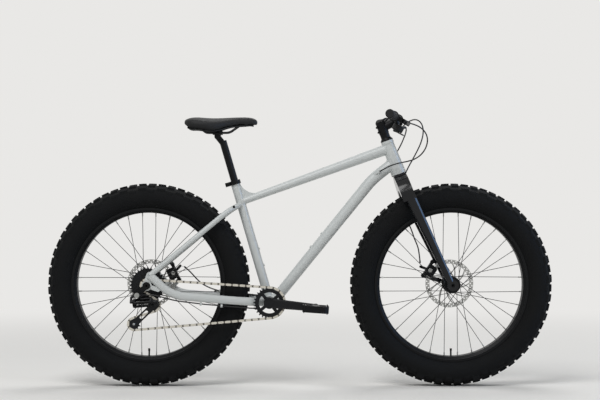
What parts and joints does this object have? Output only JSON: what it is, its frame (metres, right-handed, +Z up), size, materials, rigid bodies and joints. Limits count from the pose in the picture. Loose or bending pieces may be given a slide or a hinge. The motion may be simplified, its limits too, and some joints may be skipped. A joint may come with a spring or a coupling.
{
  "type": "fat tire bike",
  "caption": "Rigid fat tyre bicycle with a sloping grey frame, black fork, wide knobbly wheels, mechanical disc brakes, a chain drive with derailleur, flat bar and saddle.",
  "frame": {"origin": "on the ground, half way between the axles, in the middle plane", "axes": "+X the way the bicycle travels, +Y to the rider's left, +Z up"},
  "size_m": [1.877, 0.7502, 1.0143],
  "materials": {
    "frame_paint": "satin grey paint",
    "black_alloy": "black anodised",
    "fork_paint": "satin black paint",
    "bright_steel": "brushed",
    "dark_steel": "blackened",
    "black_plastic": "matt",
    "tyre_rubber": "matt moulded rubber",
    "soft_rubber": "matt",
    "saddle_skin": "satin synthetic leather"
  },
  "bodies": {
    "frame": {"head_tube": "frame_paint", "top_tube": "frame_paint", "down_tube": "frame_paint", "seat_tube": "frame_paint", "bottom_bracket_shell": "frame_paint", "chainstays": "frame_paint", "seatstays": "frame_paint", "dropouts": "frame_paint", "seat_collar": "black_alloy", "headset": "black_alloy", "bottom_bracket_cups": "black_alloy", "rear_axle": "black_alloy", "rear_caliper": "black_alloy", "frame_housings": "black_plastic", "chain": "bright_steel", "derailleur_knuckle": "black_alloy"},
    "seat_post": {"seatpost": "black_alloy"},
    "saddle_cradle": {"saddle_clamp": "black_alloy"},
    "saddle": {"saddle_base": "dark_steel", "saddle_cover": "saddle_skin"},
    "steering": {"fork": "fork_paint", "headset_spacers": "black_alloy", "stem": "black_alloy", "stem_faceplate": "black_alloy", "handlebar": "black_alloy", "grips": "soft_rubber", "lever_clamps": "black_alloy", "shifter": "black_plastic", "front_axle": "black_alloy", "front_caliper": "black_alloy", "front_brake_housing": "black_plastic", "cable_loops": "black_plastic"},
    "right_lever": {"right_brake_lever": "black_alloy"},
    "left_lever": {"left_brake_lever": "black_alloy"},
    "thumb_lever": {"shift_lever": "black_plastic"},
    "front_brake_arm": {"front_caliper_arm": "black_alloy"},
    "rear_brake_arm": {"rear_caliper_arm": "black_alloy"},
    "front_wheel": {"front_tyre": "tyre_rubber", "front_inner_tube": "soft_rubber", "front_rim": "black_alloy", "front_spokes": "dark_steel", "front_hub": "black_alloy", "front_rotor": "bright_steel"},
    "rear_wheel": {"rear_tyre": "tyre_rubber", "rear_inner_tube": "soft_rubber", "rear_rim": "black_alloy", "rear_spokes": "dark_steel", "rear_hub": "black_alloy", "rear_rotor": "bright_steel"},
    "cogs": {"cassette": "dark_steel"},
    "cranks": {"crank_arms": "black_alloy", "chainring": "black_alloy"},
    "pedal_right": {"right_pedal": "black_alloy"},
    "pedal_left": {"left_pedal": "black_alloy"},
    "outer_link": {"derailleur_outer_link": "black_alloy"},
    "inner_link": {"derailleur_inner_link": "black_alloy"},
    "moving_knuckle": {"derailleur_pivot": "black_alloy"},
    "cage": {"derailleur_cage": "black_alloy"},
    "guide_wheel": {"guide_pulley": "black_plastic"},
    "tension_wheel": {"tension_pulley": "black_plastic"}
  },
  "joints": [
    {"name": "steering_turn", "type": "hinge", "parent": "frame", "child": "steering", "pos_m": [0.36875, 0, 0.78784], "axis": [-0.3404, 0, 0.9403], "range_deg": [-70, 70], "deforming": ["cable_loops"]},
    {"name": "front_wheel_spin", "type": "hinge", "parent": "steering", "child": "front_wheel", "pos_m": [0.5625, 0, 0.376], "axis": [0, 1, 0], "continuous": true},
    {"name": "rear_wheel_spin", "type": "hinge", "parent": "frame", "child": "rear_wheel", "pos_m": [-0.5625, 0, 0.376], "axis": [0, 1, 0], "continuous": true},
    {"name": "crank_spin", "type": "hinge", "parent": "frame", "child": "cranks", "pos_m": [-0.1125, 0, 0.3115], "axis": [0, 1, 0], "continuous": true, "deforming": ["chain"]},
    {"name": "cassette_spin", "type": "hinge", "parent": "frame", "child": "cogs", "pos_m": [-0.5625, 0, 0.376], "axis": [0, 1, 0], "continuous": true},
    {"name": "right_pedal_spin", "type": "hinge", "parent": "cranks", "child": "pedal_right", "pos_m": [0.05675, 0, 0.2955], "axis": [0, 1, 0], "continuous": true},
    {"name": "left_pedal_spin", "type": "hinge", "parent": "cranks", "child": "pedal_left", "pos_m": [-0.28175, 0, 0.3275], "axis": [0, 1, 0], "continuous": true},
    {"name": "seatpost_slide", "type": "slide", "parent": "frame", "child": "seat_post", "axis": [-0.2807, 0, 0.9598], "range_m": [-0.1, 0.05]},
    {"name": "saddle_tilt", "type": "hinge", "parent": "seat_post", "child": "saddle_cradle", "pos_m": [-0.30683, 0, 0.9258], "axis": [0, 1, 0], "range_deg": [-12, 12]},
    {"name": "saddle_slide", "type": "slide", "parent": "saddle_cradle", "child": "saddle", "axis": [1, 0, 0], "range_m": [-0.012, 0.012]},
    {"name": "right_lever_pull", "type": "hinge", "parent": "steering", "child": "right_lever", "pos_m": [0.37584, -0.21313, 0.97177], "axis": [-0.4685, 0.0636, -0.8812], "range_deg": [0, 15], "stiffness_Nm_per_rad": 4, "springref_deg": -11.46},
    {"name": "left_lever_pull", "type": "hinge", "parent": "steering", "child": "left_lever", "pos_m": [0.37584, 0.21313, 0.97177], "axis": [0.4685, 0.0636, 0.8812], "range_deg": [0, 15], "stiffness_Nm_per_rad": 4, "springref_deg": -11.46},
    {"name": "rear_brake_arm_turn", "type": "hinge", "parent": "frame", "child": "rear_brake_arm", "pos_m": [-0.4785, 0.098, 0.414], "axis": [0, 1, 0], "range_deg": [0, 15]},
    {"name": "front_brake_arm_turn", "type": "hinge", "parent": "steering", "child": "front_brake_arm", "pos_m": [0.4895, 0.0745, 0.426], "axis": [0, 1, 0], "range_deg": [0, 15]},
    {"name": "shift_press", "type": "hinge", "parent": "steering", "child": "thumb_lever", "pos_m": [0.35568, -0.16655, 0.9518], "axis": [0.4685, -0.0636, 0.8812], "range_deg": [0, 25], "stiffness_Nm_per_rad": 1, "springref_deg": -11.46},
    {"name": "derailleur_shift", "type": "hinge", "parent": "frame", "child": "outer_link", "pos_m": [-0.606, -0.122, 0.318], "axis": [0, 0.6401, 0.7683], "range_deg": [0, 42], "stiffness_Nm_per_rad": 0.6, "springref_deg": -17.19, "deforming": ["chain"]},
    {"name": "inner_link_turn", "type": "hinge", "parent": "frame", "child": "inner_link", "pos_m": [-0.606, -0.10663, 0.3052], "axis": [0, 0.6401, 0.7683], "range_deg": [0, 42]},
    {"name": "moving_knuckle_turn", "type": "hinge", "parent": "outer_link", "child": "moving_knuckle", "pos_m": [-0.5446, -0.12863, 0.32352], "axis": [0, 0.6401, 0.7683], "range_deg": [-42, 0]},
    {"name": "cage_swing", "type": "hinge", "parent": "moving_knuckle", "child": "cage", "pos_m": [-0.5261, -0.11, 0.30852], "axis": [0, 1, 0], "range_deg": [-50, 20], "stiffness_Nm_per_rad": 0.4, "deforming": ["chain"]},
    {"name": "guide_pulley_spin", "type": "hinge", "parent": "cage", "child": "guide_wheel", "pos_m": [-0.5376, -0.0915, 0.30302], "axis": [0, 1, 0], "continuous": true},
    {"name": "tension_pulley_spin", "type": "hinge", "parent": "cage", "child": "tension_wheel", "pos_m": [-0.60957, -0.0915, 0.23504], "axis": [0, 1, 0], "continuous": true}
  ],
  "couplings": [
    {"joint": "cassette_spin", "follows": "crank_spin", "ratio": 2.5455},
    {"joint": "guide_pulley_spin", "follows": "crank_spin", "ratio": -2.5455},
    {"joint": "tension_pulley_spin", "follows": "crank_spin", "ratio": 2.5455},
    {"joint": "rear_brake_arm_turn", "follows": "right_lever_pull", "ratio": 1},
    {"joint": "front_brake_arm_turn", "follows": "left_lever_pull", "ratio": 1},
    {"joint": "inner_link_turn", "follows": "derailleur_shift", "ratio": 1},
    {"joint": "moving_knuckle_turn", "follows": "derailleur_shift", "ratio": -1}
  ]
}
